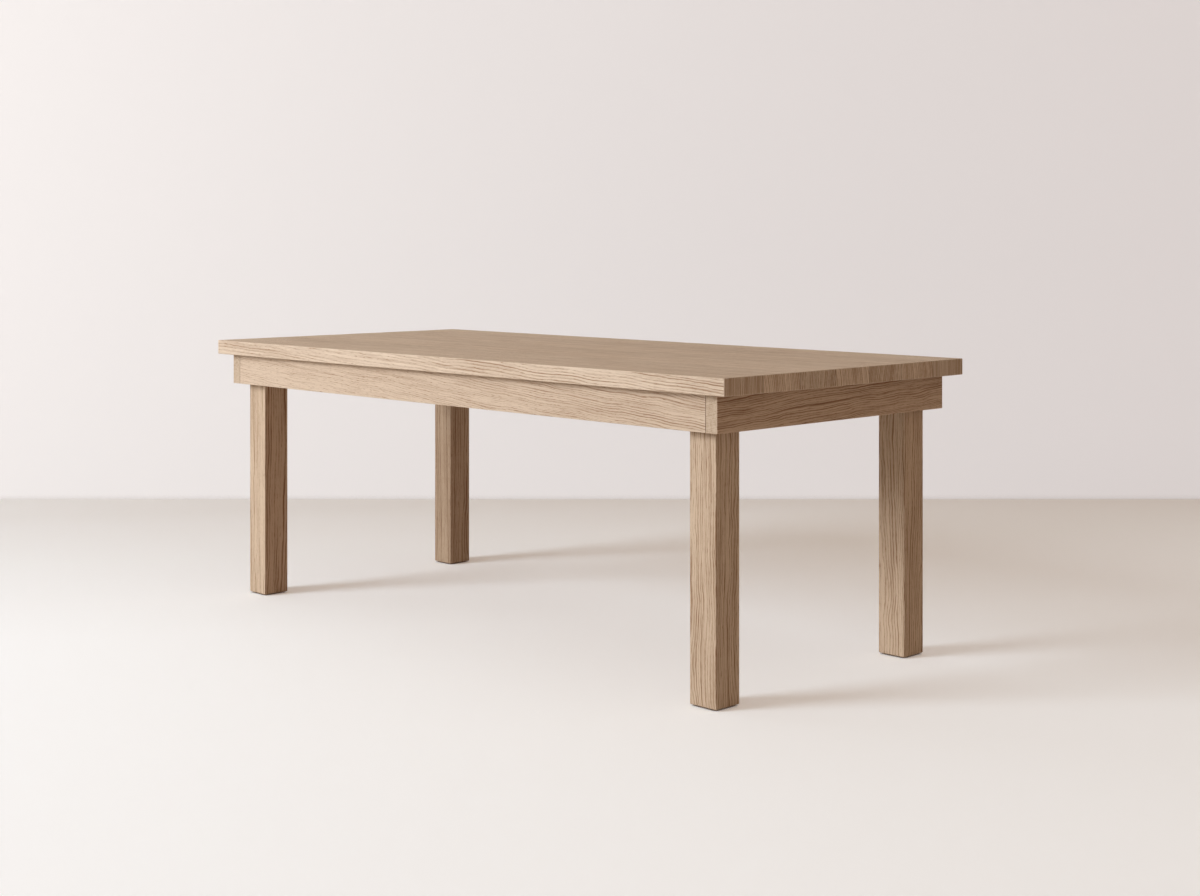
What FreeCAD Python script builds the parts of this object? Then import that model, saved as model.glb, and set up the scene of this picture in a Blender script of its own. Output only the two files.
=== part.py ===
import FreeCAD, Part
import math
import os

# An oak dining table: a thick plank top on an apron frame, square legs bolted into the corners of the
# frame, and a screw levelling foot in each leg.
# Millimetres. +X runs along the length, +Y from the front to the rear and +Z up. The origin is on the
# floor under the middle of the top.

# Overall size
table_length = 2032.0
table_width = 914.0
table_height = 756.0

# Top, of boards glued edge to edge
top_thickness = 41.0
board_count = 7
top_edge_radius = 2.0

# Apron frame: the end aprons cap the ends of the long ones
end_overhang = 44.0
side_overhang = 26.0
apron_height = 87.0
apron_thickness = 35.0
apron_edge_radius = 1.0

# Dowels in the corners of the frame
dowel_count = 3
dowel_diameter = 10.0
dowel_depth_in_end_apron = 22.0
dowel_depth_in_long_apron = 38.0
dowel_margin = 18.0
dowel_chamfer = 1.5

# Legs, which stand inside the corners of the frame
leg_section = 80.0
leg_edge_radius = 1.5
leg_bottom_chamfer = 2.0
leg_flat_cut = 24.0
leg_flat_margin = 8.0

# Corner blocks, which bridge the frame's corners behind the legs
block_thickness = 30.0
block_height = 60.0
block_drop = 13.0
block_gap = 6.0

# Hanger bolts, two through each corner block into the leg
bolt_diameter = 8.0
bolt_spacing = 30.0
bolt_depth_in_leg = 50.0
bolt_tail = 6.0
bolt_hole_clearance = 0.5
washer_diameter = 20.0
washer_thickness = 1.6
nut_width = 13.0
nut_height = 6.5

# Screws from the corner blocks into the aprons
block_screw_diameter = 5.0
block_screw_grip = 14.0
block_screw_depth = 25.0
block_screw_spacing = 34.0
block_screw_head_diameter = 9.5
block_screw_head_height = 3.5
counterbore_clearance = 1.0

# Battens under the top, housed in the long aprons
batten_count = 3
batten_width = 70.0
batten_thickness = 28.0
batten_edge_radius = 2.0
housing_depth = 10.0

# Screws from the battens into the boards, in slots that let the boards swell and shrink
batten_screw_diameter = 5.0
batten_screw_depth = 20.0
batten_screw_margin = 60.0
batten_screw_head_diameter = 10.0
batten_screw_head_height = 3.5
batten_washer_diameter = 16.0
batten_washer_thickness = 1.2
batten_slot_travel = 6.0
batten_slot_clearance = 0.5

# Steel clips that hold the edges of the top down on the aprons
end_clip_count = 2
clip_width = 20.0
clip_gauge = 2.0
clip_bend_radius = 1.0
clip_tongue = 7.0
clip_standoff = 3.0
clip_flange = 24.0
clip_slot_drop = 14.0
clip_slot_height = 4.0
clip_slot_depth = 9.0
clip_slot_clearance = 4.0
clip_screw_diameter = 4.0
clip_screw_depth = 18.0
clip_screw_head_diameter = 8.0
clip_screw_head_height = 2.6
clip_hole_clearance = 0.3

# Levelling feet, one in the bottom of each leg
foot_gap = 3.0
foot_travel = 15.0
pad_diameter = 40.0
pad_height = 8.0
pad_edge_radius = 1.5
pad_floor = 2.5
pad_clearance = 0.3
pocket_clearance = 3.0
foot_screw_diameter = 8.0
foot_screw_end = 8.0
foot_screw_chamfer = 1.0
swivel_diameter = 14.0
swivel_thickness = 3.0
wrench_width = 13.0
wrench_height = 5.0
insert_diameter = 12.0
insert_length = 20.0
insert_flange_diameter = 24.0
insert_flange_thickness = 1.5
hole_end_clearance = 3.0

# Fits: gap round a piece that is driven or glued in, and round one that turns or slides
snug_clearance = 0.05
running_clearance = 0.08

# Levels and faces that the pieces share
half_length = table_length / 2
half_width = table_width / 2
top_underside = table_height - top_thickness
apron_bottom = top_underside - apron_height
frame_x = half_length - end_overhang
frame_y = half_width - side_overhang
inner_x = frame_x - apron_thickness
inner_y = frame_y - apron_thickness
board_width = table_width / board_count
block_top = top_underside - block_drop
block_bottom = block_top - block_height
block_middle = (block_top + block_bottom) / 2

# Distances along the diagonal of a corner, from the inside corner of the aprons
diagonal = math.sqrt(2)
flat_distance = (2 * leg_section - leg_flat_cut) / diagonal
block_outer_distance = flat_distance + block_gap
block_inner_distance = block_outer_distance + block_thickness
washer_distance = block_inner_distance + washer_thickness
nut_distance = washer_distance + nut_height

# Distances along an apron, from the same corner, to the two sides of the block's end
block_near = block_outer_distance * diagonal
block_far = block_inner_distance * diagonal
block_screw_offset = (block_near + block_far) / 2

# Levels in a levelling foot, all the way in
swivel_top = pad_floor + swivel_thickness
wrench_bottom = pad_height + pad_clearance
wrench_top = wrench_bottom + wrench_height
pocket_ceiling = wrench_top + insert_flange_thickness
insert_top = pocket_ceiling + insert_length
foot_screw_top = insert_top + foot_travel + foot_screw_end

CORNERS = {
    "front_left": (-1, -1),
    "front_right": (1, -1),
    "rear_left": (-1, 1),
    "rear_right": (1, 1),
}

Vector = FreeCAD.Vector
UP = Vector(0, 0, 1)


def box(low, high):
    """Box between its lowest and highest corners."""
    size = high - low
    return Part.makeBox(size.x, size.y, size.z, low)


def rod(start, end, radius):
    """Cylinder from one point to another."""
    axis = end - start
    return Part.makeCylinder(radius, axis.Length, start, axis)


def prism(points, height):
    """Upright prism on a level outline."""
    return Part.Face(Part.makePolygon(points + points[:1])).extrude(UP * height)


def hexagon(centre, axis, width, height):
    """Hexagonal prism, this wide across its flats."""
    radius = width / math.sqrt(3)
    corners = []
    for step in range(6):
        angle = math.radians(60 * step)
        corners.append(Vector(radius * math.cos(angle), radius * math.sin(angle), 0))
    solid = prism(corners, height)
    solid.Placement = FreeCAD.Placement(centre, FreeCAD.Rotation(UP, axis))
    return solid


def screw(seat, axis, diameter, length, head_diameter, head_height):
    """Pan-head screw: the head stands on the seat, and the shank runs along the axis."""
    head = rod(seat - axis * head_height, seat, head_diameter / 2)
    shank = rod(seat, seat + axis * (length - diameter), diameter / 2)
    tip = Part.makeCone(diameter / 2, diameter / 8, diameter, seat + axis * (length - diameter), axis)
    return head.fuse([shank, tip]).removeSplitter()


def pilot(seat, axis, diameter, length):
    """Hole for a screw's shank."""
    return rod(seat, seat + axis * length, diameter / 2 + snug_clearance)


def slot(low, travel, radius, height):
    """Upright slot of the given travel along Y, to be cut from a piece."""
    reach = Vector(0, travel / 2, 0)
    middle = box(low - reach - Vector(radius, 0, 0), low + reach + Vector(radius, 0, height))
    ends = [rod(low + end, low + end + UP * height, radius) for end in (reach, -reach)]
    return middle.fuse(ends).removeSplitter()


def cut(solid, tools):
    """Cuts away the tools that reach into a solid."""
    near = [tool for tool in tools if solid.BoundBox.intersect(tool.BoundBox)]
    return solid.cut(near) if near else solid


def at_corner(shape, corner):
    """Mirrored copy of a shape of the rear right corner, at the named corner."""
    side_x, side_y = CORNERS[corner]
    copy = shape.copy()
    if side_x < 0:
        copy = copy.mirror(Vector(0, 0, 0), Vector(1, 0, 0))
    if side_y < 0:
        copy = copy.mirror(Vector(0, 0, 0), Vector(0, 1, 0))
    return copy


def at_all_corners(shapes):
    """Mirrored copies of shapes of the rear right corner, at all four corners."""
    return [at_corner(shape, corner) for corner in CORNERS for shape in shapes]


def bay_middles(half_span, count):
    """Middles of equal bays across a span."""
    bay = 2 * half_span / count
    return [-half_span + bay * (index + 0.5) for index in range(count)]


def bay_divisions(half_span, count):
    """Lines that divide a span into equal bays."""
    bay = 2 * half_span / count
    return [-half_span + bay * index for index in range(1, count)]


def diagonal_point(distance, height):
    """Point on the diagonal of the rear right corner."""
    step = distance / diagonal
    return Vector(inner_x - step, inner_y - step, height)


INWARD = Vector(-1, -1, 0).normalize()
BOLT_HEIGHTS = (block_middle - bolt_spacing / 2, block_middle + bolt_spacing / 2)
LEG_CENTRE = Vector(inner_x - leg_section / 2, inner_y - leg_section / 2, 0)
BATTEN_PLACES = bay_divisions(inner_x - block_far, batten_count + 1)
LONG_CLIP_PLACES = bay_middles(inner_x - block_far, batten_count + 1)
END_CLIP_PLACES = bay_middles(inner_y - block_far, end_clip_count)
BOARD_MIDDLES = bay_middles(half_width, board_count)
BATTEN_SCREW_PLACES = [y for y in BOARD_MIDDLES if abs(y) < inner_y - batten_screw_margin]


def clip_placements():
    """Places of the clips: on the inner face of an apron, under the top, with local +Y pointing inwards."""
    places = []
    for x in LONG_CLIP_PLACES:
        places.append((Vector(x, -inner_y, top_underside), 0))
        places.append((Vector(x, inner_y, top_underside), 180))
    for y in END_CLIP_PLACES:
        places.append((Vector(inner_x, y, top_underside), 90))
        places.append((Vector(-inner_x, y, top_underside), -90))
    return [FreeCAD.Placement(point, FreeCAD.Rotation(UP, angle)) for point, angle in places]


def at_clips(shape):
    """Copies of a shape at every clip."""
    copies = []
    for placement in clip_placements():
        copy = shape.copy()
        copy.Placement = placement
        copies.append(copy)
    return copies


def clip_screw_seat():
    """Where a clip's screw bears on the flange, in the clip's own frame."""
    return Vector(0, clip_standoff + clip_gauge + (clip_flange - clip_gauge) / 2, -clip_gauge)


def make_clip():
    """Z-shaped steel clip: a tongue in the apron's slot, a riser, and a flange under the top."""
    tongue_top = -clip_slot_drop
    tongue_bottom = tongue_top - clip_gauge
    riser_near = clip_standoff
    riser_far = clip_standoff + clip_gauge
    flange_end = clip_standoff + clip_flange
    outline = [
        (-clip_tongue, tongue_bottom),
        (riser_far, tongue_bottom),
        (riser_far, -clip_gauge),
        (flange_end, -clip_gauge),
        (flange_end, 0),
        (riser_near, 0),
        (riser_near, tongue_top),
        (-clip_tongue, tongue_top),
    ]
    points = [Vector(-clip_width / 2, y, z) for y, z in outline]
    strip = Part.Face(Part.makePolygon(points + points[:1])).extrude(Vector(clip_width, 0, 0))
    inside_bends = ((riser_far, -clip_gauge), (riser_near, tongue_top))
    outside_bends = ((riser_far, tongue_bottom), (riser_near, 0))
    strip = strip.makeFillet(clip_bend_radius, edges_along_x(strip, inside_bends))
    strip = strip.makeFillet(clip_bend_radius + clip_gauge, edges_along_x(strip, outside_bends))
    seat = clip_screw_seat()
    hole = rod(seat, seat + UP * clip_gauge, clip_screw_diameter / 2 + clip_hole_clearance)
    return strip.cut(hole)


def edges_along_x(solid, corners):
    """Straight edges along X that pass through the given (y, z) corners."""
    found = []
    for edge in solid.Edges:
        middle = edge.BoundBox.Center
        if any(middle.distanceToPoint(Vector(0, y, z)) < snug_clearance for y, z in corners):
            found.append(edge)
    return found


def clip_slot():
    """Slot in an apron for a clip's tongue, in the clip's own frame."""
    half = clip_width / 2 + clip_slot_clearance
    top = -clip_slot_drop
    return box(Vector(-half, -clip_slot_depth, top - clip_slot_height), Vector(half, 0, top))


def clip_screw():
    """Screw through a clip's flange into the top, in the clip's own frame."""
    return screw(clip_screw_seat(), UP, clip_screw_diameter, clip_gauge + clip_screw_depth,
                 clip_screw_head_diameter, clip_screw_head_height)


def clip_pilot():
    """Hole in the top for a clip's screw, in the clip's own frame."""
    return pilot(clip_screw_seat(), UP, clip_screw_diameter, clip_gauge + clip_screw_depth)


def batten_screw_seats():
    """Where the batten screws bear on their washers, under the battens."""
    level = top_underside - batten_thickness - batten_washer_thickness
    return [Vector(x, y, level) for x in BATTEN_PLACES for y in BATTEN_SCREW_PLACES]


def batten_screw_length():
    return batten_washer_thickness + batten_thickness + batten_screw_depth


def make_batten_screws():
    return [
        screw(seat, UP, batten_screw_diameter, batten_screw_length(),
              batten_screw_head_diameter, batten_screw_head_height)
        for seat in batten_screw_seats()
    ]


def make_batten_washers():
    hole_radius = batten_screw_diameter / 2 + snug_clearance
    washers = []
    for seat in batten_screw_seats():
        top = seat + UP * batten_washer_thickness
        washers.append(rod(seat, top, batten_washer_diameter / 2).cut(rod(seat, top, hole_radius)))
    return washers


def make_batten(x):
    """Flat batten across the frame, with a round hole in the middle and slots beside it."""
    half = Vector(batten_width / 2, inner_y + housing_depth, 0)
    bottom = Vector(x, 0, top_underside - batten_thickness)
    batten = box(bottom - half, bottom + half + UP * batten_thickness)
    lower_edges = [
        edge for edge in batten.Edges
        if edge.BoundBox.ZMax < top_underside and edge.BoundBox.YLength > batten_width
    ]
    batten = batten.makeFillet(batten_edge_radius, lower_edges)
    radius = batten_screw_diameter / 2 + batten_slot_clearance
    middle = len(BATTEN_SCREW_PLACES) // 2
    holes = []
    for index, y in enumerate(BATTEN_SCREW_PLACES):
        low = bottom + Vector(0, y, 0)
        if index == middle:
            holes.append(rod(low, low + UP * batten_thickness, radius))
        else:
            holes.append(slot(low, batten_slot_travel, radius, batten_thickness))
    return batten.cut(holes)


def batten_housings():
    """Notches in the long aprons that the battens' ends drop into."""
    half = batten_width / 2 + snug_clearance
    bottom = top_underside - batten_thickness
    deep = inner_y + housing_depth + snug_clearance
    housings = []
    for x in BATTEN_PLACES:
        housings.append(box(Vector(x - half, inner_y, bottom), Vector(x + half, deep, top_underside)))
        housings.append(box(Vector(x - half, -deep, bottom), Vector(x + half, -inner_y, top_underside)))
    return housings


def make_boards():
    """Top boards, in order from front to rear, cut from one panel with rounded edges."""
    low = Vector(-half_length, -half_width, top_underside)
    panel = box(low, Vector(half_length, half_width, table_height))
    panel = panel.makeFillet(top_edge_radius, panel.Edges)
    holes = at_clips(clip_pilot())
    for seat in batten_screw_seats():
        holes.append(pilot(seat, UP, batten_screw_diameter, batten_screw_length()))
    boards = []
    for y in BOARD_MIDDLES:
        slab = box(Vector(-half_length, y - board_width / 2, top_underside),
                   Vector(half_length, y + board_width / 2, table_height))
        boards.append(cut(panel.common(slab), holes))
    return boards


def dowel_heights():
    """Levels of the dowels in a frame corner, spread evenly between the margins."""
    lowest = apron_bottom + dowel_margin
    step = (apron_height - 2 * dowel_margin) / (dowel_count - 1)
    return [lowest + step * index for index in range(dowel_count)]


def dowel_ends(height, slack):
    """Ends of a dowel's axis in the rear right corner, with end slack for its hole."""
    y = (frame_y + inner_y) / 2
    return (Vector(inner_x - dowel_depth_in_long_apron - slack, y, height),
            Vector(inner_x + dowel_depth_in_end_apron + slack, y, height))


def make_dowels():
    """Chamfered dowels of the rear right corner."""
    dowels = []
    for height in dowel_heights():
        start, end = dowel_ends(height, 0)
        plain = rod(start, end, dowel_diameter / 2)
        rims = [edge for edge in plain.Edges if edge.Closed and edge.BoundBox.XLength < dowel_chamfer]
        dowels.append(plain.makeChamfer(dowel_chamfer, rims))
    return dowels


def dowel_holes():
    """Holes for the dowels of the rear right corner."""
    radius = dowel_diameter / 2 + snug_clearance
    return [rod(*dowel_ends(height, snug_clearance), radius) for height in dowel_heights()]


def block_screw_seats():
    """Where the block screws of the rear right corner bear, each with its direction."""
    seats = []
    for height in (block_middle - block_screw_spacing / 2, block_middle + block_screw_spacing / 2):
        seats.append((Vector(inner_x - block_screw_offset, inner_y - block_screw_grip, height), Vector(0, 1, 0)))
        seats.append((Vector(inner_x - block_screw_grip, inner_y - block_screw_offset, height), Vector(1, 0, 0)))
    return seats


def block_screw_length():
    return block_screw_grip + block_screw_depth


def make_block_screws():
    return [
        screw(seat, axis, block_screw_diameter, block_screw_length(),
              block_screw_head_diameter, block_screw_head_height)
        for seat, axis in block_screw_seats()
    ]


def block_screw_pilots():
    return [pilot(seat, axis, block_screw_diameter, block_screw_length()) for seat, axis in block_screw_seats()]


def make_block():
    """Corner block: a mitred bar across the corner, bored for the hanger bolts and the screws."""
    outline = [
        Vector(inner_x - block_near, inner_y, block_bottom),
        Vector(inner_x - block_far, inner_y, block_bottom),
        Vector(inner_x, inner_y - block_far, block_bottom),
        Vector(inner_x, inner_y - block_near, block_bottom),
    ]
    block = prism(outline, block_height)
    bolt_radius = bolt_diameter / 2 + bolt_hole_clearance
    holes = []
    for height in BOLT_HEIGHTS:
        start = diagonal_point(block_outer_distance, height)
        holes.append(rod(start, diagonal_point(block_inner_distance, height), bolt_radius))
    head_radius = block_screw_head_diameter / 2 + counterbore_clearance
    for seat, axis in block_screw_seats():
        holes.append(rod(seat, seat - axis * block_thickness, head_radius))
    return block.cut(holes + block_screw_pilots())


def make_bolts():
    """Hanger bolts of the rear right corner, from the leg's flat out through block, washer and nut."""
    bolts = []
    for height in BOLT_HEIGHTS:
        start = diagonal_point(flat_distance - bolt_depth_in_leg, height)
        end = diagonal_point(nut_distance + bolt_tail, height)
        bolts.append(rod(start, end, bolt_diameter / 2))
    return bolts


def make_washers():
    """Washers of the rear right corner's hanger bolts."""
    washers = []
    for height in BOLT_HEIGHTS:
        start = diagonal_point(block_inner_distance, height)
        end = diagonal_point(washer_distance, height)
        hole = rod(start, end, bolt_diameter / 2 + snug_clearance)
        washers.append(rod(start, end, washer_diameter / 2).cut(hole))
    return washers


def make_nuts():
    """Hexagon nuts of the rear right corner's hanger bolts."""
    nuts = []
    for height in BOLT_HEIGHTS:
        start = diagonal_point(washer_distance, height)
        hole = rod(start, diagonal_point(nut_distance, height), bolt_diameter / 2 + snug_clearance)
        nuts.append(hexagon(start, INWARD, nut_width, nut_height).cut(hole))
    return nuts


def foot_tool(low, high, diameter):
    """Upright cylinder on the axis of the rear right foot."""
    return rod(LEG_CENTRE + UP * low, LEG_CENTRE + UP * high, diameter / 2)


def make_leg():
    """Rear right leg: rounded edges, chamfered bottom, a flat for the bolts and a pocket for the foot."""
    low = Vector(inner_x - leg_section, inner_y - leg_section, foot_gap)
    high = Vector(inner_x, inner_y, top_underside)
    post = box(low, high)
    upright = [edge for edge in post.Edges if edge.BoundBox.ZLength > leg_section]
    post = post.makeFillet(leg_edge_radius, upright)
    blank = box(low, high)
    bottom = [edge for edge in blank.Edges if edge.BoundBox.ZMax < foot_gap + snug_clearance]
    post = post.common(blank.makeChamfer(leg_bottom_chamfer, bottom))

    flat_bottom = block_bottom - leg_flat_margin
    flat = prism([
        Vector(low.x, low.y, flat_bottom),
        Vector(low.x + leg_flat_cut, low.y, flat_bottom),
        Vector(low.x, low.y + leg_flat_cut, flat_bottom),
    ], top_underside - flat_bottom)

    tools = [flat]
    for height in BOLT_HEIGHTS:
        start = diagonal_point(flat_distance - bolt_depth_in_leg - snug_clearance, height)
        tools.append(rod(start, diagonal_point(flat_distance, height), bolt_diameter / 2 + snug_clearance))
    tools.append(foot_tool(foot_gap, pocket_ceiling, pad_diameter + 2 * pocket_clearance))
    tools.append(foot_tool(pocket_ceiling, insert_top, insert_diameter + 2 * snug_clearance))
    tools.append(foot_tool(insert_top, foot_screw_top + hole_end_clearance, insert_diameter))
    return post.cut(tools)


def make_insert():
    """Threaded insert of the rear right foot, with its flange against the pocket's ceiling."""
    barrel = foot_tool(pocket_ceiling, insert_top, insert_diameter)
    flange = foot_tool(wrench_top, pocket_ceiling, insert_flange_diameter)
    bore = foot_tool(wrench_top, insert_top, foot_screw_diameter + 2 * running_clearance)
    return barrel.fuse(flange).removeSplitter().cut(bore)


def turned(edges):
    """Solid of revolution about the axis of the rear right foot, from an outline in its XZ plane."""
    face = Part.Face(Part.Wire(edges))
    return face.revolve(LEG_CENTRE, UP, 360)


def outline_point(radius, height):
    return LEG_CENTRE + Vector(radius, 0, height)


def lines(points):
    """Straight edges through (radius, height) points."""
    corners = [outline_point(*point) for point in points]
    return [Part.makeLine(start, end) for start, end in zip(corners, corners[1:])]


def make_pad():
    """Swivel pad of the rear right foot, with a hollow that holds the screw's swivel disc."""
    rim = pad_diameter / 2
    turn = pad_edge_radius
    neck = foot_screw_diameter / 2 + running_clearance
    hollow = swivel_diameter / 2 + running_clearance
    lip = swivel_top + running_clearance
    slant = turn * (1 - math.sqrt(0.5))
    corner = Part.Arc(outline_point(rim - turn, 0), outline_point(rim - slant, slant), outline_point(rim, turn))
    outline = lines([(0, 0), (rim - turn, 0)])
    outline.append(corner.toShape())
    outline += lines([
        (rim, turn),
        (rim, pad_height - turn),
        (rim - turn, pad_height),
        (neck, pad_height),
        (neck, lip),
        (hollow, lip),
        (hollow, pad_floor),
        (0, pad_floor),
        (0, 0),
    ])
    return turned(outline)


def make_foot_screw():
    """Levelling screw of the rear right foot: swivel disc, neck, wrench collar and threaded shank."""
    disc = swivel_diameter / 2
    shank = foot_screw_diameter / 2
    spindle = turned(lines([
        (0, pad_floor),
        (disc, pad_floor),
        (disc, swivel_top),
        (shank, swivel_top),
        (shank, foot_screw_top - foot_screw_chamfer),
        (shank - foot_screw_chamfer, foot_screw_top),
        (0, foot_screw_top),
        (0, pad_floor),
    ]))
    collar = hexagon(LEG_CENTRE + UP * wrench_bottom, UP, wrench_width, wrench_height)
    return spindle.fuse(collar).removeSplitter()


def rounded_apron(low, high):
    """Apron blank, rounded along every edge but those under the top."""
    blank = box(low, high)
    edges = [edge for edge in blank.Edges if edge.BoundBox.ZMin < top_underside - apron_edge_radius]
    return blank.makeFillet(apron_edge_radius, edges)


def make_aprons():
    """The four aprons, with their dowel holes, screw holes, clip slots and batten housings."""
    blanks = {
        "front_apron": (Vector(-inner_x, -frame_y, apron_bottom), Vector(inner_x, -inner_y, top_underside)),
        "rear_apron": (Vector(-inner_x, inner_y, apron_bottom), Vector(inner_x, frame_y, top_underside)),
        "left_end_apron": (Vector(-frame_x, -frame_y, apron_bottom), Vector(-inner_x, frame_y, top_underside)),
        "right_end_apron": (Vector(inner_x, -frame_y, apron_bottom), Vector(frame_x, frame_y, top_underside)),
    }
    tools = at_all_corners(dowel_holes() + block_screw_pilots())
    tools += at_clips(clip_slot()) + batten_housings()
    return {name: [cut(rounded_apron(low, high), tools)] for name, (low, high) in blanks.items()}


def make_nodes():
    """Every piece of the table, by node name."""
    nodes = {}
    for index, board in enumerate(make_boards()):
        nodes[f"top_board_{index + 1}"] = [board]
    nodes.update(make_aprons())
    for index, x in enumerate(BATTEN_PLACES):
        nodes[f"batten_{index + 1}"] = [make_batten(x)]
    singles = {
        "leg": make_leg(),
        "corner_block": make_block(),
        "foot_screw": make_foot_screw(),
        "foot_pad": make_pad(),
    }
    for name, solid in singles.items():
        for corner in CORNERS:
            nodes[f"{name}_{corner}"] = [at_corner(solid, corner)]
    nodes["apron_dowels"] = at_all_corners(make_dowels())
    nodes["hanger_bolts"] = at_all_corners(make_bolts())
    nodes["hanger_bolt_washers"] = at_all_corners(make_washers())
    nodes["hanger_bolt_nuts"] = at_all_corners(make_nuts())
    nodes["corner_block_screws"] = at_all_corners(make_block_screws())
    nodes["foot_inserts"] = at_all_corners([make_insert()])
    nodes["batten_screws"] = make_batten_screws()
    nodes["batten_washers"] = make_batten_washers()
    nodes["top_clips"] = at_clips(make_clip())
    nodes["top_clip_screws"] = at_clips(clip_screw())
    return nodes


def main():
    os.makedirs("parts", exist_ok=True)
    for name, solids in make_nodes().items():
        shape = solids[0] if len(solids) == 1 else Part.makeCompound(solids)
        shape.exportStep(f"parts/{name}.step")


main()
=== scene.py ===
import math
import bpy
import numpy
from mathutils import Matrix, Vector


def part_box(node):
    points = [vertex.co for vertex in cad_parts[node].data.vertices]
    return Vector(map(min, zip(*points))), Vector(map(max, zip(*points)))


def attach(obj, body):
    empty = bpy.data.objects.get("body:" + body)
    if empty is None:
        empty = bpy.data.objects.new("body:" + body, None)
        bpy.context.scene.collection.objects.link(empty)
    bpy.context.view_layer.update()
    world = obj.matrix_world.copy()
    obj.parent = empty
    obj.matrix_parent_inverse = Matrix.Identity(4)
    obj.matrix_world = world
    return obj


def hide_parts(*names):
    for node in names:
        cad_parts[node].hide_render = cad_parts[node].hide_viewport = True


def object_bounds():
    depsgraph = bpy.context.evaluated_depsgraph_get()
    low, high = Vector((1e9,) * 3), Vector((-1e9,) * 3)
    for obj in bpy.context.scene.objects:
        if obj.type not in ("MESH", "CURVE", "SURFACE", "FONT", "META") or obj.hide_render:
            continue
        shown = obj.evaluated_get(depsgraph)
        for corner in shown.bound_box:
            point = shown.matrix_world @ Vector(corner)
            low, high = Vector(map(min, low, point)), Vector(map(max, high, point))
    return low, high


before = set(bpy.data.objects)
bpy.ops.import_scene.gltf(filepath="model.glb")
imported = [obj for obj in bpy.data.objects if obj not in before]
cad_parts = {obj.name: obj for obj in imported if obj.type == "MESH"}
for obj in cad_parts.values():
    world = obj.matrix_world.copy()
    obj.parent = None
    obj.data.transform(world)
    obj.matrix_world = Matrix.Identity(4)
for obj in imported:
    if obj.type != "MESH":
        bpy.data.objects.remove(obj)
cad_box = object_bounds()

CORNERS = ("front_left", "front_right", "rear_left", "rear_right")
# Colour sockets of a mix node
MIX_COLORS = (6, 7)
MIX_RESULT = 2
FULL_TURN = 2 * math.pi
QUARTER_TURN = math.pi / 2
EIGHTH_TURN = math.pi / 4

# Picture: the camera is level, and its axis meets the picture AXIS_Y pixels from the top
PICTURE_WIDTH = 1200
PICTURE_HEIGHT = 896
FOCAL_PIXELS = 1757.65
AXIS_Y = 238.52
CAMERA_PLACE = (3.56984, -3.3393, 1.06165)
CAMERA_YAW = math.radians(45.59)
SENSOR_WIDTH = 36.0
FORWARD = Vector((-math.sin(CAMERA_YAW), math.cos(CAMERA_YAW), 0))
RIGHT = Vector((math.cos(CAMERA_YAW), math.sin(CAMERA_YAW), 0))

# Floor and backdrop: COLOR is what light meets, and SEEN is what the eye meets. GLOW is for the eye alone.
# It goes from its first colour to its second over REACH, in metres from the camera along AXIS. The floor's
# axis points about 10 degrees to the left of the view.
FLOOR_COLOR = (0.72, 0.675, 0.635)
FLOOR_SEEN = (0.72, 0.844, 0.952)
FLOOR_GLOW = ((0.315, 0.256, 0.226), (0.15, 0.07, 0.02))
FLOOR_AXIS = FORWARD * 0.985 - RIGHT * 0.174
FLOOR_REACH = (4.8, 7.0)
WALL_COLOR = (0.55, 0.535, 0.53)
WALL_GLOW = ((0.372, 0.392, 0.420), (0.388, 0.384, 0.404))
WALL_AXIS = RIGHT
WALL_REACH = (-2.2, 2.2)
WALL_DISTANCE = 7.16
WALL_HEIGHT = 12.0
STAGE_REACH = 30.0
BACKGROUND = (0.80, 0.755, 0.735)
# The stage fades into the background over these metres from the table, and over these towards the lamp
FADE_FAR = (3.9, 6.2)
FADE_LAMP = (1.7, 3.8)
# Narrow gaps, such as the slit under a leg: their colour to the eye, which is a painted shade, and the
# openness over which it fades
GAP_SHADE_COLOR = (0.12, 0.085, 0.06)
GAP_REACH = 0.05
GAP_SAMPLES = 4
GAP_FADE = (0.05, 0.45)

# Light: a large soft lamp far off on the left, and a fill from all round that is stronger from above
KEY_HEADING = Vector((0.414, 0.910, 0)).normalized()
KEY_ELEVATION = math.radians(22.5)
KEY_DISTANCE = 11.5
KEY_SIZE = 4.9
KEY_POWER = 1010.0
KEY_COLOR = (1.0, 0.985, 0.965)
FILL_LOW = (0.266, 0.183, 0.126)
FILL_HIGH = (0.53, 0.42, 0.325)

# Oak: colours are linear
OAK_LIGHT = (0.665, 0.555, 0.45)
OAK_DARK = (0.29, 0.178, 0.108)
OAK_END = (0.66, 0.50, 0.37)
OAK_END_SHARE = 0.3
OAK_SPECULAR = 0.2
SEAM_COLOR = (0.16, 0.10, 0.065)
# Noises: features per metre along the grain and across it, detail and roughness
STREAKS = ((3.0, 115.0, 115.0), 3.0, 0.62)
FIBRES = ((12.0, 420.0, 420.0), 3.0, 0.65)
THREADS = ((35.0, 1100.0, 1100.0), 2.0, 0.6)
FADING = ((7.0, 80.0, 80.0), 2.0, 0.5)
PORES = ((60.0, 1500.0, 1500.0), 1.0, 0.5)
BROAD = ((1.6, 9.0, 9.0), 3.0, 0.5)
# Noise along the radius of the tree: bands on the ends of pieces
BANDS = ((52.0, 0.0, 0.0), 4.0, 0.72)
# Rings: spacing in metres, waves of their radius as features per metre and height, noise along the radius
# that shifts them by up to so many rings, and how their strength is drawn
RING_WIDTH = 0.0055
RING_WAVES = (
    ((0.9, 2.5, 2.5), 0.012),
    ((4.5, 8.0, 8.0), 0.006),
    ((12.0, 16.0, 16.0), 0.0022),
    ((30.0, 24.0, 24.0), 0.0004),
)
RING_SHIFT = ((50.0, 0.0, 0.0), 1.15)
RING_POWER = 1.5
RING_LEAST = 0.45
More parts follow.
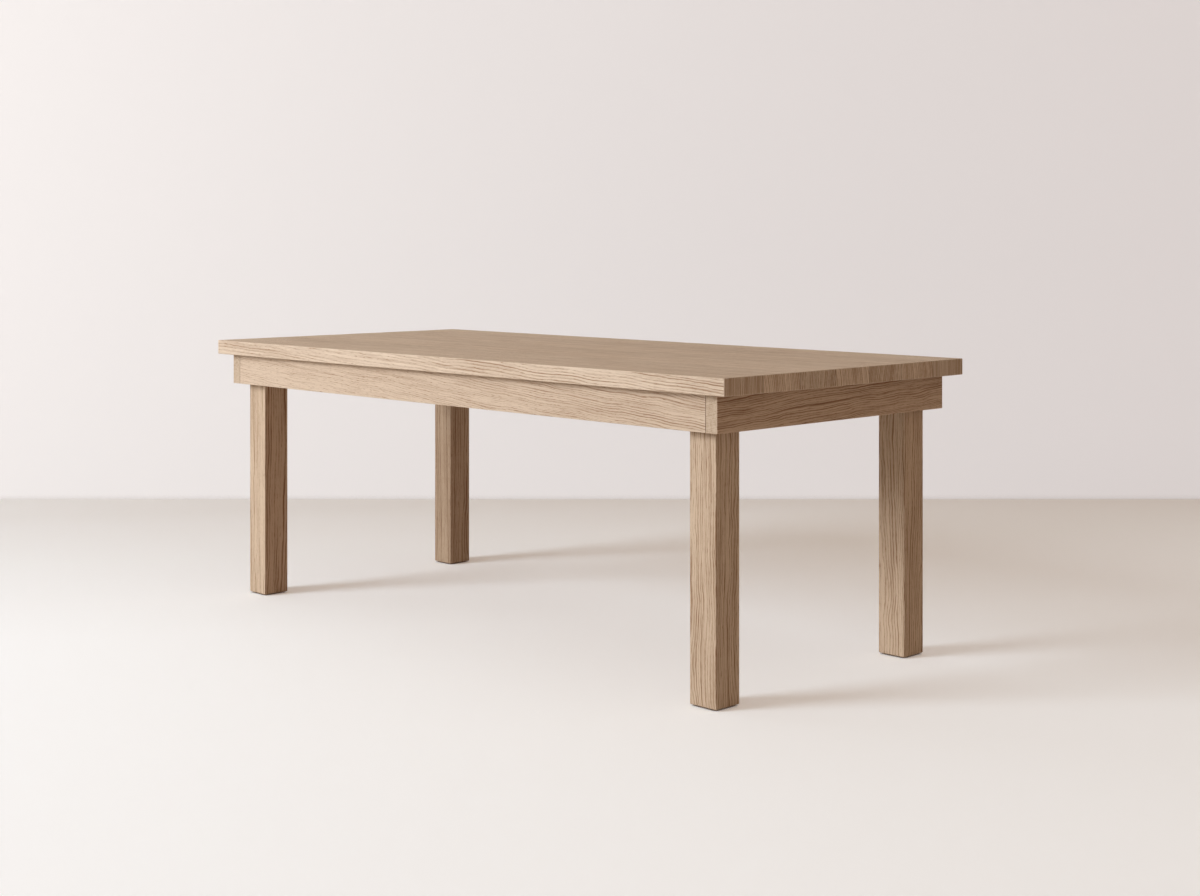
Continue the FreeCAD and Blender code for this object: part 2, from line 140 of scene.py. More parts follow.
# Curves through (position, value) points
EARLY_WOOD = ((0.0, 0.1), (0.1, 1.0), (0.3, 0.85), (0.46, 0.2), (0.75, 0.02), (1.0, 0.1))
FADED_LINES = ((0.3, 0.45), (0.6, 1.0))
OPEN_PORES = ((0.0, 0.0), (0.56, 0.0), (0.68, 1.0))
END_FACES = ((0.0, 0.0), (0.75, 0.0), (0.95, 1.0))
# What breaks up the growth lines, and the share of pores in the late wood
BREAK_FIBRES = 1.5
BREAK_THREADS = 1.3
BREAK_LEVEL = -0.35
BREAK_END = 1.15
LATE_PORES = 0.3
# Darkness of the wood: weights of what makes it up, and the levels they start from
LINE_WEIGHT = 0.85
FIBRE_WEIGHT = 0.8
PORE_WEIGHT = 0.95
FIGURE_LEVEL = -0.37
STREAK_WEIGHT = 0.95
BROAD_WEIGHT = 0.5
MOTTLE_LEVEL = -0.725
END_WEIGHT = 2.11
END_BROAD_WEIGHT = 0.3
END_LEVEL = -0.63
EDGE_WEAR_AND_HIGHLIGHT = -0.15
# Roughness and height of the surface, made up likewise
ROUGHNESS = 0.62
DARK_ROUGHNESS = 0.16
END_ROUGHNESS = 0.1
EDGE_ROUGHNESS = -0.06
PORE_HEIGHT = -0.5
LINE_HEIGHT = -0.6
FIBRE_HEIGHT = 0.3
BUMP_STRENGTH = 0.6
BUMP_DISTANCE = 0.0004
# Worn edges, whose lighter colour is partly wear and partly a painted highlight where rounded edges catch the
# light, the joint lines of the aprons and the glue lines of the top, in metres
EDGE_WIDTH = 0.004
SEAM_WIDTH = 0.002
SEAM_DEPTH = 0.001
SEAM_STRENGTH = 0.75
GLUE_WIDTH = 0.0024
GLUE_STRENGTH = 0.5
# Share of the right end's lines at the middle of the table, and its rise per metre to the right
LINES_MIDDLE = 0.2
LINES_RISE = 0.8

# Zinc and nylon: colours and roughness from the low to the high parts of a fine noise
ZINC_COLORS = ((0.50, 0.51, 0.52), (0.68, 0.69, 0.68))
ZINC_NOISE = ((180.0, 180.0, 180.0), 4.0)
ZINC_ROUGHNESS = 0.25
ZINC_ROUGHNESS_RISE = 0.25
NYLON_COLORS = ((0.030, 0.026, 0.022), (0.050, 0.043, 0.037))
NYLON_NOISE = ((1400.0, 1400.0, 1400.0), 2.0)
NYLON_ROUGHNESS = 0.5
NYLON_ROUGHNESS_RISE = 0.2
NYLON_BUMP_STRENGTH = 0.3
NYLON_BUMP_DISTANCE = 0.0001

# Fasteners: sides of round forms, rings per turn of a thread, and its crest as shares of the pitch
SIDES = 24
THREAD_STEPS = 6
CREST_SLOPE = 4
CREST_REACH = 1 / 3
FASTENER_TURN = 2.4
FASTENER_CREASE = math.radians(32)
# A solid is long where its spread along the axis is this many times the spread across it, and else flat
LONG_SPREAD = 2
PLACE_DIGITS = 6
# Wood screws, as shares of the radius of the shank, of the length and of the head's radius
SCREW_SIDES = SIDES // 2
SCREW_TIP = 0.1
SCREW_POINT = 2
SCREW_PITCH = 0.9
SCREW_DEPTH = 0.32
SCREW_THREADED = 0.65
HEAD_RIM = 0.99
HEAD_POINTS = 0.9
BELOW_SEAT = 0.001
# Pan heads, as shares of their height and radius
PAN_SHOULDER = 0.45
PAN_RISE = 0.53
PAN_FLAT = 0.6
PAN_STEPS = 4
PAN_STEP = math.pi / 10
RECESS_TOP = 0.52
RECESS_FLOOR = 0.40
RECESS_LEVEL = 0.35
RECESS_CORNER = FULL_TURN / SIDES
RECESS_ARM = 1.1 * RECESS_CORNER
# Bolts, nuts, levelling screws and dowels
BOLT_TIP = 0.1
BOLT_POINT = 2
BOLT_PITCH = 0.00125
BOLT_DEPTH = 0.0007
BOLT_CHAMFER = 0.001
BOLT_FINE_LENGTH = 0.024
BOLT_WOOD_PITCH = 0.003
BOLT_WOOD_DEPTH = 0.28
BOLT_WOOD_END = 0.046
HEX_FACE = 0.97
HEX_SIDE = math.pi / 3
HEX_HALF = math.pi / 6
HEX_CHAMFER = math.pi / 6
DISC_CHAMFER = 0.0003
LEVEL_DIGITS = 5
LEVEL_TOLERANCE = 0.0001
FLUTE_DEPTH = 0.0004


class Look:
    """How the oak of one piece looks.

    Tilt is the slope of the tree's heart across the grain. Tints are for the whole piece, for the sides
    that face along the table, where the tint is a painted shade, for the ends of the grain, and for the front
    and back of an outer board.
    Lines are the strength of the dark growth lines: at the table's right end, at its left end, on the sides
    and on the ends. Ring is their spacing, wave is how much they wander, and mottle is the strength of the
    soft figure between them. An edge cut squeezes the upright growth on all but the front and back.
    """

    tilt = (0.0, 0.0)
    tint = (1.0, 1.0, 1.0)
    side_shade_tint = None
    end_tint = None
    edge_tint = None
    lines = 1.0
    left_lines = None
    side_lines = None
    end_lines = None
    ring = RING_WIDTH
    wave = 1.0
    mottle = 1.0
    edge_cut = None

    def __init__(self, **settings):
        for name, value in settings.items():
            setattr(self, name, value)


# Top boards from the front: the tree's heart from the board's middle, tone, and tone of the ends
BOARDS = (
    ((0.12, -0.16), 0.985, 0.92),
    ((-0.45, -0.032), 0.97, 1.01),
    ((0.48, -0.044), 1.005, 0.88),
    ((-0.42, -0.026), 0.975, 0.99),
    ((0.45, -0.038), 0.995, 0.94),
    ((-0.48, -0.02), 0.965, 1.0),
    ((0.12, -0.16), 0.985, 0.90),
)
BOARD_TILT = (0.006, 0.05)
TOP_TINT = Vector((1.0, 0.992, 0.962))
TOP_LINES = 0.65
BOARD_SETTINGS = {"lines": TOP_LINES, "end_lines": 1.8, "ring": 0.0058}
OUTER_BOARD_SETTINGS = {
    "lines": 1.2,
    "left_lines": 0.4,
    "side_lines": TOP_LINES,
    "end_lines": 1.8,
    "ring": 0.0052,
    "edge_cut": 0.12,
    "edge_tint": (1.0, 1.04, 1.07),
}
APRON_LOOK = Look(
    tilt=(0.006, 0.07),
    tint=(0.915, 0.925, 0.93),
    lines=1.1,
    left_lines=0.4,
    ring=0.0052,
    wave=1.7,
)
# The end aprons' darker, warmer tint is painted shade, for the warm shade at the table's end
END_APRON_LOOK = Look(
    tilt=(0.008, -0.04),
    tint=(0.86, 0.77, 0.70),
    end_tint=(0.815, 0.846, 0.855),
    lines=1.1,
    end_lines=0.35,
    ring=0.005,
    wave=1.8,
    mottle=2.0,
)
LEG_SETTINGS = {"tilt": (0.012, -0.009), "ring": 0.0047}
# A leg's side tint is painted shade: its sides that face along the table are darker and warmer, as they are
# in shade
LEG_LOOKS = {
    "leg_front_left": Look(
        tint=(0.885, 0.875, 0.84), side_shade_tint=(0.81, 0.70, 0.62),
        wave=0.9, mottle=2.2, lines=0.7, side_lines=1.15, **LEG_SETTINGS),
    "leg_front_right": Look(
        tint=(0.88, 0.87, 0.84), side_shade_tint=(0.91, 0.86, 0.80),
        wave=1.8, mottle=1.7, lines=0.95, **LEG_SETTINGS),
    # The rear left leg's darker tint is painted shade, for light that this leg gets less of
    "leg_rear_left": Look(
        tint=(0.655, 0.61, 0.555), side_shade_tint=(0.735, 0.64, 0.57),
        wave=1.1, mottle=1.6, lines=0.7, side_lines=0.95, **LEG_SETTINGS),
    "leg_rear_right": Look(
        tint=(0.90, 0.88, 0.84), side_shade_tint=(0.88, 0.81, 0.735),
        wave=1.5, mottle=1.4, lines=0.95, **LEG_SETTINGS),
}
INNER_TINT = (1.08, 1.05, 0.98)
BATTEN_LOOK = Look(tilt=(0.004, 0.006), tint=INNER_TINT)
BLOCK_LOOK = Look(tilt=(0.01, 0.02), tint=INNER_TINT)
DOWEL_LOOK = Look(tint=INNER_TINT)
# Hearts of the trees: inward and up from an apron's upper edge, and across the other pieces
APRON_HEART = (0.07, 0.16)
END_APRON_HEART = (0.05, 0.12)
LEG_HEART = Vector((-0.11, 0.10))
LEG_HEART_STEP = Vector((0.01, -0.008))
BATTEN_HEART = (0.02, -0.06)
BLOCK_HEART = (0.05, -0.03)
DOWEL_HEART = (0.0, -0.1)
# Where pieces start along their trees, and the step from one to the next
BOARD_SHIFT = (0.0, 1.7)
APRON_SHIFT = (11.3, 2.9)
END_APRON_SHIFT = (21.1, 3.3)
LEG_SHIFT = (31.7, 1.9)
BATTEN_SHIFT = (41.0, 1.0)
BLOCK_SHIFT = (51.0, 1.0)
DOWEL_SHIFT = 61.0


class Graph:
    """Adds nodes to a node tree and links them."""

    def __init__(self, tree):
        self.tree = tree

    def node(self, kind, inputs=None, **settings):
        made = self.tree.nodes.new(kind)
        for name, value in settings.items():
            setattr(made, name, value)
        for socket, value in (inputs or {}).items():
            self.feed(made.inputs[socket], value)
        return made

    def feed(self, socket, value):
        if isinstance(value, bpy.types.NodeSocket):
            self.tree.links.new(value, socket)
        else:
            socket.default_value = value

    def math(self, operation, *values, clamp=False):
        made = self.node("ShaderNodeMath", operation=operation, use_clamp=clamp)
        for socket, value in zip(made.inputs, values):
            self.feed(socket, value)
        return made.outputs[0]

    def total(self, level, *terms):
        """A level plus values times their weights."""
        result = level
        for value, weight in terms:
            result = self.math("MULTIPLY_ADD", value, weight, result)
        return result

    def product(self, first, *others):
        result = first
        for value in others:
            result = self.math("MULTIPLY", result, value)
        return result

    def vector(self, operation, *values):
        made = self.node("ShaderNodeVectorMath", operation=operation)
        for socket, value in zip(made.inputs, values):
            self.feed(socket, value)
        return made.outputs["Value" if operation in ("LENGTH", "DOT_PRODUCT") else "Vector"]

    def split(self, vector):
        return self.node("ShaderNodeSeparateXYZ", {"Vector": vector}).outputs

    def join(self, x, y, z):
        return self.node("ShaderNodeCombineXYZ", {"X": x, "Y": y, "Z": z}).outputs[0]

    def swing(self, vector, angle):
        """Turns a vector about the upright axis."""
        if not angle:
            return vector
        inputs = {"Vector": vector, "Angle": angle}
        return self.node("ShaderNodeVectorRotate", inputs, rotation_type="Z_AXIS").outputs[0]

    def noise(self, vector, stretch, detail=2.0, roughness=0.5):
        """Smooth noise between about 0 and 1, with this many features per metre along each axis."""
        scaled = self.vector("MULTIPLY", vector, stretch)
        inputs = {"Vector": scaled, "Scale": 1.0, "Detail": detail, "Roughness": roughness}
        return self.node("ShaderNodeTexNoise", inputs).outputs[0]

    def wave(self, vector, stretch, height):
        """Noise about zero, this far up and down."""
        centred = self.math("SUBTRACT", self.noise(vector, stretch), 0.5)
        return self.math("MULTIPLY", centred, 2 * height)

    def rise(self, value, low, high):
        """0 below one value and 1 above the other."""
        return self.math("DIVIDE", self.math("SUBTRACT", value, low), high - low, clamp=True)

    def curve(self, value, points):
        """Piecewise smooth curve through (position, value) points."""
        made = self.node("ShaderNodeValToRGB", {"Fac": value})
        ramp = made.color_ramp
        ramp.interpolation = "EASE"
        while len(ramp.elements) < len(points):
            ramp.elements.new(0.5)
        for element, (position, level) in zip(ramp.elements, points):
            element.position = position
            element.color = (level, level, level, 1)
        return made.outputs[0]

    def mix(self, factor, first, second):
        """A number between two others."""
        return self.node("ShaderNodeMix", {"Factor": factor, "A": first, "B": second}).outputs[0]

    def blend(self, factor, first, second, blend_type="MIX"):
        """A colour between two others."""
        made = self.node("ShaderNodeMix", data_type="RGBA", blend_type=blend_type)
        self.feed(made.inputs["Factor"], factor)
        for number, value in zip(MIX_COLORS, (first, second)):
            color = value if isinstance(value, bpy.types.NodeSocket) else (*value, 1)
            self.feed(made.inputs[number], color)
        return made.outputs[MIX_RESULT]

    def combine(self, kind, shaders, inputs=None):
        """A shader made of two others, which are the last two inputs of its node."""
        made = self.node(kind, inputs)
        for socket, shader in zip(list(made.inputs)[-2:], shaders):
            self.feed(socket, shader)
        return made.outputs[0]


def new_material(name):
    """An empty material, and the graph that fills it."""
    material = bpy.data.materials.new(name)
    material.use_nodes = True
    material.node_tree.nodes.clear()
    return material, Graph(material.node_tree)


def ring_radius(graph, place, wave):
    """Metres from the heart of the tree, made wavy."""
    _, across, up = graph.split(place)
    radius = graph.vector("LENGTH", graph.join(0.0, across, up))
    waves = [(graph.wave(place, stretch, height), wave) for stretch, height in RING_WAVES]
    return graph.total(radius, *waves)


def ring_lines(graph, radius, given):
    """The dark early wood of each ring, and the ring's own strength."""
    rings = graph.math("DIVIDE", radius, given["Ring"])
    unequal = graph.wave(graph.join(radius, 0.0, 0.0), *RING_SHIFT)
    rings = graph.math("MULTIPLY_ADD", unequal, given["Wave"], rings)
    early = graph.curve(graph.math("FRACT", rings), EARLY_WOOD)
    number = graph.math("FLOOR", rings)
    chance = graph.node("ShaderNodeTexWhiteNoise", {"W": number}, noise_dimensions="1D").outputs["Value"]
    strength = graph.math("ADD", graph.math("POWER", chance, RING_POWER), RING_LEAST)
    return early, graph.math("MULTIPLY", strength, given["Lines"])


def line_breaks(graph, place, fibres, end):
    """What the growth lines keep of their strength where fibres break them up and where they fade."""
    threads = graph.noise(place, *THREADS)
    broken = graph.total(BREAK_LEVEL, (threads, BREAK_THREADS), (fibres, BREAK_FIBRES))
    fading = graph.curve(graph.noise(place, *FADING), FADED_LINES)
    return graph.product(fading, graph.mix(end, broken, BREAK_END))


def end_bands(graph, radius, broad, given):
    """Broad bands that show on the ends of a piece."""
    bands = graph.noise(graph.join(radius, 0.0, 0.0), *BANDS)
    bands = graph.total(END_LEVEL, (bands, 1.0), (broad, END_BROAD_WEIGHT))
    return graph.product(bands, given["End"], given["Lines"])


def grain_tree():
    """Node group for oak with its inputs and outputs, still empty."""
    tree = bpy.data.node_groups.new("oak_grain", "ShaderNodeTree")
    tree.interface.new_socket("Place", in_out="INPUT", socket_type="NodeSocketVector")
    for name in ("End", "Edge", "Lines", "Seam", "Ring", "Wave", "Mottle"):
        tree.interface.new_socket(name, in_out="INPUT", socket_type="NodeSocketFloat")
    tree.interface.new_socket("Color", in_out="OUTPUT", socket_type="NodeSocketColor")
    for name in ("Roughness", "Height"):
        tree.interface.new_socket(name, in_out="OUTPUT", socket_type="NodeSocketFloat")
    return tree


def grain_group():
    """Oak in three dimensions. Place is metres along the grain and across it, from the heart of the tree."""
    tree = grain_tree()
    graph = Graph(tree)
    given = graph.node("NodeGroupInput").outputs
    place = given["Place"]
    end = given["End"]
    edge = given["Edge"]

    radius = ring_radius(graph, place, given["Wave"])
    early, strength = ring_lines(graph, radius, given)
    fibres = graph.noise(place, *FIBRES)
    lines = graph.product(early, strength, line_breaks(graph, place, fibres, end))
    pores = graph.curve(graph.noise(place, *PORES), OPEN_PORES)
    pores = graph.product(pores, graph.total(LATE_PORES, (early, 1 - LATE_PORES)))
    broad = graph.noise(place, *BROAD)
    streaks = graph.noise(place, *STREAKS)
    mottle = graph.total(MOTTLE_LEVEL, (broad, BROAD_WEIGHT), (streaks, STREAK_WEIGHT))

    figure = ((lines, LINE_WEIGHT), (fibres, FIBRE_WEIGHT), (pores, PORE_WEIGHT), (mottle, given["Mottle"]))
    dark = graph.total(FIGURE_LEVEL, *figure, (end_bands(graph, radius, broad, given), END_WEIGHT))
    # Edges are made lighter: partly wear, partly a painted highlight where the rounded edges catch the light
    dark = graph.math("MULTIPLY_ADD", edge, EDGE_WEAR_AND_HIGHLIGHT, dark, clamp=True)
    color = graph.blend(dark, OAK_LIGHT, OAK_DARK)
    color = graph.blend(graph.math("MULTIPLY", end, OAK_END_SHARE), color, OAK_END)
    color = graph.blend(given["Seam"], color, SEAM_COLOR)
    rough = graph.total(ROUGHNESS, (dark, DARK_ROUGHNESS), (end, END_ROUGHNESS), (edge, EDGE_ROUGHNESS))
    height = graph.total(0.0, (lines, LINE_HEIGHT), (pores, PORE_HEIGHT), (fibres, FIBRE_HEIGHT))
    graph.node("NodeGroupOutput", {"Color": color, "Roughness": rough, "Height": height})
    return tree


GRAIN = grain_group()
ACROSS = {"X": ("Y", "Z"), "Y": ("X", "Z"), "Z": ("X", "Y")}


class Surface:
    """Where a piece's points lie and which way its faces look. A turn swings the grain about the upright."""

    def __init__(self, graph, grain, turn):
        coordinates = graph.node("ShaderNodeTexCoord").outputs
        self.point = coordinates["Object"]
        self.axes = graph.split(graph.swing(self.point, -turn))
        facing = graph.split(graph.swing(coordinates["Normal"], -turn))[grain]
        self.end = graph.curve(graph.math("ABSOLUTE", facing), END_FACES)
        self.fronting = graph.math("ABSOLUTE", graph.split(coordinates["Normal"])["Y"])


def edge_mask(graph, point, node):
    """1 on the edges of a box-shaped node, falling to 0 away from them."""
    low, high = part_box(node)
    offset = graph.vector("ABSOLUTE", graph.vector("SUBTRACT", point, tuple((low + high) / 2)))
    inside = graph.vector("SUBTRACT", tuple((high - low) / 2), offset)
    x, y, z = graph.split(inside)
    nearer = graph.math("MINIMUM", x, y)
    farther = graph.math("MAXIMUM", x, y)
    second_nearest = graph.math("MAXIMUM", nearer, graph.math("MINIMUM", farther, z))
    return graph.math("SUBTRACT", 1.0, graph.math("DIVIDE", second_nearest, EDGE_WIDTH), clamp=True)


def seam_mask(graph, point):
    """The joint lines between the long aprons and the ends that cap them, seen on the outer faces."""
    x, y, _ = graph.split(graph.vector("ABSOLUTE", point))
    apart = graph.math("ABSOLUTE", graph.math("SUBTRACT", x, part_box("front_apron")[1].x))
    near = graph.math("LESS_THAN", apart, SEAM_WIDTH / 2)
    outside = graph.math("GREATER_THAN", y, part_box("rear_apron")[1].y - SEAM_DEPTH)
    return graph.product(near, outside, SEAM_STRENGTH)


def glue_mask(graph, point, node, end):
    """The glue lines that a top board shares with its neighbours, seen on its ends."""
    low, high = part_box(node)
    y = graph.split(point)["Y"]
    offset = graph.math("ABSOLUTE", graph.math("SUBTRACT", y, (low.y + high.y) / 2))
    near = graph.math("GREATER_THAN", offset, (high.y - low.y - GLUE_WIDTH) / 2)
    inside = graph.math("LESS_THAN", graph.math("ABSOLUTE", y), cad_box[1].y - GLUE_WIDTH)
    return graph.product(near, inside, end, GLUE_STRENGTH)


def joint_mask(graph, surface, node):
    """Dark joint lines on the pieces that show them."""
    if "apron" in node:
        return seam_mask(graph, surface.point)
    if "board" in node:
        return glue_mask(graph, surface.point, node, surface.end)
    return 0.0


def grain_place(graph, surface, grain, heart, look, shift):
    """Metres along the grain and across it, from the heart of the tree."""
    along = surface.axes[grain]
    across = [
        graph.math("MULTIPLY_ADD", along, slope, graph.math("SUBTRACT", surface.axes[axis], middle))
        for axis, middle, slope in zip(ACROSS[grain], heart, look.tilt)
    ]
    if look.edge_cut:
        squeeze = graph.total(look.edge_cut, (surface.fronting, 1 - look.edge_cut))
        across[1] = graph.product(across[1], squeeze)
    return graph.join(graph.math("ADD", along, shift), *across)


def line_strength(graph, surface, look):
    """Strength of the growth lines on each part of a piece."""
    strength = look.lines
    if look.left_lines:
        share = graph.math("MULTIPLY_ADD", surface.axes["X"], LINES_RISE, LINES_MIDDLE, clamp=True)
        strength = graph.total(look.left_lines, (share, look.lines - look.left_lines))
    if look.side_lines:
        strength = graph.mix(surface.fronting, look.side_lines, strength)
    if look.end_lines:
        strength = graph.mix(surface.end, strength, look.end_lines)
    return strength


def piece_tint(graph, surface, look):
    """Tint of each part of a piece."""
    tint = look.tint
    # The side tint is painted shade on the sides that face along the table
    if look.side_shade_tint:
        tint = graph.blend(surface.fronting, look.side_shade_tint, tint)
    if look.end_tint:
        tint = graph.blend(surface.end, tint, look.end_tint)
    if look.edge_tint:
        tint = graph.blend(surface.fronting, tint, look.edge_tint)
    return tint


def wood(node, grain, heart, look, shift=0.0, turn=0.0):
    """Oak for one piece: its grain axis, the tree's heart across it, its look, and its start along it."""
    material, graph = new_material("wood_" + node)
    surface = Surface(graph, grain, turn)
    inputs = {
        "Place": grain_place(graph, surface, grain, heart, look, shift),
        "End": surface.end,
        "Edge": edge_mask(graph, surface.point, node),
        "Lines": line_strength(graph, surface, look),
        "Seam": joint_mask(graph, surface, node),
        "Ring": look.ring,
        "Wave": look.wave,
        "Mottle": look.mottle,
    }
    oak = graph.node("ShaderNodeGroup", inputs, node_tree=GRAIN).outputs
    bump = graph.node("ShaderNodeBump", {
        "Height": oak["Height"],
        "Strength": BUMP_STRENGTH,
        "Distance": BUMP_DISTANCE,
    })
    shader = graph.node("ShaderNodeBsdfPrincipled", {
        "Base Color": graph.blend(1.0, oak["Color"], piece_tint(graph, surface, look), "MULTIPLY"),
        "Roughness": oak["Roughness"],
        "Normal": bump.outputs[0],
        "Specular IOR Level": OAK_SPECULAR,
    })
    graph.node("ShaderNodeOutputMaterial", {"Surface": shader.outputs[0]})
    return material


def zinc():
    """Zinc-plated steel with a faint cloudy finish."""
    material, graph = new_material("zinc_steel")
    point = graph.node("ShaderNodeTexCoord").outputs["Object"]
    cloud = graph.noise(point, *ZINC_NOISE)
    shader = graph.node("ShaderNodeBsdfPrincipled", {
        "Base Color": graph.blend(cloud, *ZINC_COLORS),
        "Roughness": graph.total(ZINC_ROUGHNESS, (cloud, ZINC_ROUGHNESS_RISE)),
        "Metallic": 1.0,
    })
    graph.node("ShaderNodeOutputMaterial", {"Surface": shader.outputs[0]})
    return material


def nylon():
    """Dark moulded nylon with a fine texture."""
    material, graph = new_material("pad_nylon")
    point = graph.node("ShaderNodeTexCoord").outputs["Object"]
    grit = graph.noise(point, *NYLON_NOISE)
    bump = graph.node("ShaderNodeBump", {
        "Height": grit,
        "Strength": NYLON_BUMP_STRENGTH,
        "Distance": NYLON_BUMP_DISTANCE,
    })
    shader = graph.node("ShaderNodeBsdfPrincipled", {
        "Base Color": graph.blend(grit, *NYLON_COLORS),
        "Roughness": graph.total(NYLON_ROUGHNESS, (grit, NYLON_ROUGHNESS_RISE)),
        "Normal": bump.outputs[0],
    })
    graph.node("ShaderNodeOutputMaterial", {"Surface": shader.outputs[0]})
    return material


STEEL = zinc()
NYLON = nylon()


def dress(node, material):
    """Gives a CAD node its material."""
    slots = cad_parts[node].data.materials
    slots.clear()
    slots.append(material)


def along_tree(shift, index):
    """Where the piece of this number starts along its tree."""
    first, step = shift
    return first + step * index


def middle_of(node):
    low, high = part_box(node)
    return (low + high) / 2


def dress_top():
    names = sorted(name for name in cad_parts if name.startswith("top_board_"))
    for index, (node, (heart, tone, end_tone)) in enumerate(zip(names, BOARDS)):
        middle = middle_of(node)
        outer = node in (names[0], names[-1])
        look = Look(
            tilt=(math.copysign(BOARD_TILT[0], heart[0]), BOARD_TILT[1]),
            tint=tuple(tone * TOP_TINT),
            end_tint=(end_tone, end_tone, end_tone),
            **(OUTER_BOARD_SETTINGS if outer else BOARD_SETTINGS),
        )
        place = (middle.y + heart[0], middle.z + heart[1])
        dress(node, wood(node, "X", place, look, along_tree(BOARD_SHIFT, index)))


def dress_aprons(nodes, grain, axis, heart, look, shift):
    """Dresses two opposite aprons, the one at the low end of an axis first. Their hearts lie inward."""
    for index, (node, inward) in enumerate(zip(nodes, (1, -1))):
        place = (middle_of(node)[axis] + inward * heart[0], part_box(node)[1].z + heart[1])
        dress(node, wood(node, grain, place, look, along_tree(shift, index)))


def dress_frame():
    dress_aprons(("front_apron", "rear_apron"), "X", 1, APRON_HEART, APRON_LOOK, APRON_SHIFT)
    ends = ("left_end_apron", "right_end_apron")
    dress_aprons(ends, "Y", 0, END_APRON_HEART, END_APRON_LOOK, END_APRON_SHIFT)
    for index, (node, look) in enumerate(LEG_LOOKS.items()):
        place = middle_of(node).xy + LEG_HEART + LEG_HEART_STEP * index
        dress(node, wood(node, "Z", place, look, along_tree(LEG_SHIFT, index)))


def dress_inside():
    for index, node in enumerate(("batten_1", "batten_2", "batten_3")):
        place = (middle_of(node).x + BATTEN_HEART[0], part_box(node)[0].z + BATTEN_HEART[1])
        dress(node, wood(node, "Y", place, BATTEN_LOOK, along_tree(BATTEN_SHIFT, index)))
    for index, corner in enumerate(CORNERS):
        node = "corner_block_" + corner
        middle = middle_of(node)
        turn = math.copysign(EIGHTH_TURN, -middle.x * middle.y)
        aside = (Matrix.Rotation(-turn, 3, "Z") @ middle).y
        place = (aside + BLOCK_HEART[0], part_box(node)[0].z + BLOCK_HEART[1])
        dress(node, wood(node, "X", place, BLOCK_LOOK, along_tree(BLOCK_SHIFT, index), turn))
    for node in ("hanger_bolt_washers", "foot_inserts", "batten_washers", "top_clips"):
        dress(node, STEEL)
    for corner in CORNERS:
        dress("foot_pad_" + corner, NYLON)


class Turned:
    """A solid of a CAD node that is round about an axis: its middle, its axis, and where its points lie."""

    def __init__(self, points):
        self.middle = Vector((points.min(0) + points.max(0)) / 2)
        spread, directions = numpy.linalg.eigh(numpy.cov(points.T))
        lone = 2 if spread[2] > LONG_SPREAD * spread[1] else 0
        direction = directions[:, lone]
        self.axis = Vector(numpy.round(direction / abs(direction).max())).normalized()
        offsets = points - numpy.array(self.middle)
        self.along = offsets @ numpy.array(self.axis)
        self.off = numpy.linalg.norm(offsets - numpy.outer(self.along, self.axis), axis=1)

    def flip(self):
        self.axis = -self.axis
        self.along = -self.along

    def placement(self, turn):
        """Places a form whose own axis is Z, turned this far about it."""
        upright = self.axis.to_track_quat("Z", "Y").to_matrix().to_4x4()
        return Matrix.Translation(self.middle) @ upright @ Matrix.Rotation(turn, 4, "Z")


def solids(node):
    """The separate solids of a CAD node, found by walking along their edges."""
    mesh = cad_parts[node].data
    places = [tuple(round(value, PLACE_DIGITS) for value in vertex.co) for vertex in mesh.vertices]
    neighbours = {}
    for edge in mesh.edges:
        first, second = (places[number] for number in edge.vertices)
        neighbours.setdefault(first, []).append(second)
        neighbours.setdefault(second, []).append(first)
    found = []
    while neighbours:
        waiting = [next(iter(neighbours))]
        points = []
        while waiting:
            place = waiting.pop()
            if place in neighbours:
                points.append(place)
                waiting += neighbours.pop(place)
        found.append(Turned(numpy.array(points)))
    return found


def ring(radius, height, sides=SIDES):
    """Points round the axis. The radius and the height may be functions of the angle."""
    points = []
    for side in range(sides):
        angle = FULL_TURN * side / sides
        reach = radius(angle) if callable(radius) else radius
        level = height(angle) if callable(height) else height
        points.append(Vector((reach * math.cos(angle), reach * math.sin(angle), level)))
    return points


def strip(first, second):
    """Faces between two rings of point numbers, one of which may have twice as many as the other."""
    count = min(len(first), len(second))
    faces = []
    for side in range(count):
        lower, upper = (
            [loop[(side * len(loop) // count + step) % len(loop)] for step in range(len(loop) // count + 1)]
            for loop in (first, second)
        )
        faces.append(lower + upper[::-1])
    return faces


def skin(rings, hollow=False):
    """Points and faces of a form through rings. A hollow form closes on itself, and any other is capped."""
    points = [point for loop in rings for point in loop]
    numbers = iter(range(len(points)))
    loops = [[next(numbers) for _ in loop] for loop in rings]
    faces = [] if hollow else [loops[0][::-1], loops[-1]]
    following = loops[1:] + loops[:1] if hollow else loops[1:]
    for lower, upper in zip(loops, following):
        faces += strip(lower, upper)
    return points, faces


def crest(share):
    """1 on the crest of a thread and 0 at its root, for a share of a turn."""
    return min(max(CREST_SLOPE * (CREST_REACH - abs(share % 1 - 0.5)), 0), 1)


def thread_ring(radius, cut, turns, height, sides):
    """One ring of a thread, this many turns from its start and cut this deep away from its crest."""
    def reach(angle):
        return radius - cut * (1 - crest(turns - angle / FULL_TURN))
    return ring(reach, height, sides)


def thread(radius, depth, pitch, start, end, sides=SIDES):
    """Rings of a right-hand screw thread, which runs out at both ends."""
    count = round((end - start) / pitch * THREAD_STEPS)
    rings = []
    for index in range(count + 1):
        turns = index / THREAD_STEPS
        cut = depth * min(1, turns, count / THREAD_STEPS - turns)
        height = start + (end - start) * index / count
        rings.append(thread_ring(radius, cut, turns, height, sides))
    return rings


def cross(arm):
    """Outline of a cross recess: its reach at an angle."""
    def reach(angle):
        aside = abs((angle + EIGHTH_TURN) % QUARTER_TURN - EIGHTH_TURN)
        if aside < RECESS_ARM:
            return arm / math.cos(aside)
        return arm * math.tan(RECESS_CORNER) / math.sin(aside)
    return reach


